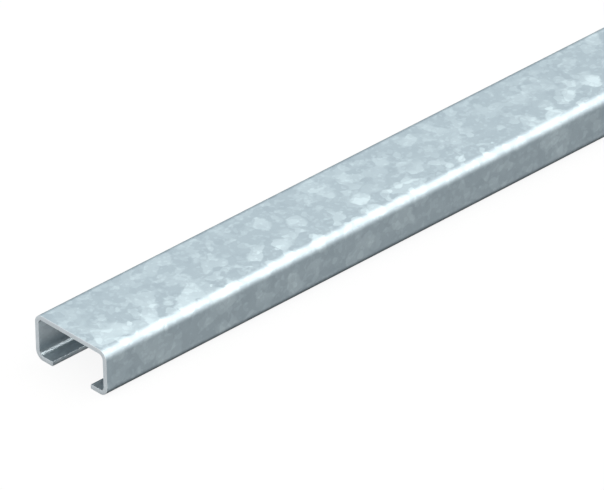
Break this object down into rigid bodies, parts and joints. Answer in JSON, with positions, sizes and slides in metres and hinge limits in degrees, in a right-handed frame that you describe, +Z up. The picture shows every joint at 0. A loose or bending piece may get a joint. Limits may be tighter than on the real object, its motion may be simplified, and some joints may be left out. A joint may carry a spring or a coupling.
{
  "type": "c-profile rail",
  "caption": "Slotted C-profile mounting rail, roll-formed in one piece from zinc-coated steel strip, with plain inturned lips and cut ends.",
  "frame": {"origin": "middle of the rail's length and width, in the plane of the lips' outer faces, which the rail lies on", "axes": "+X along the rail, +Y across it, +Z up from the slotted side to the back of the web"},
  "size_m": [2, 0.03, 0.015],
  "materials": {
    "zinc_coated_steel": "hot-dip zinc with a visible spangle, dull grey where the strip is cut"
  },
  "bodies": {
    "root": {"c_profile_rail": "zinc_coated_steel"}
  },
  "joints": []
}
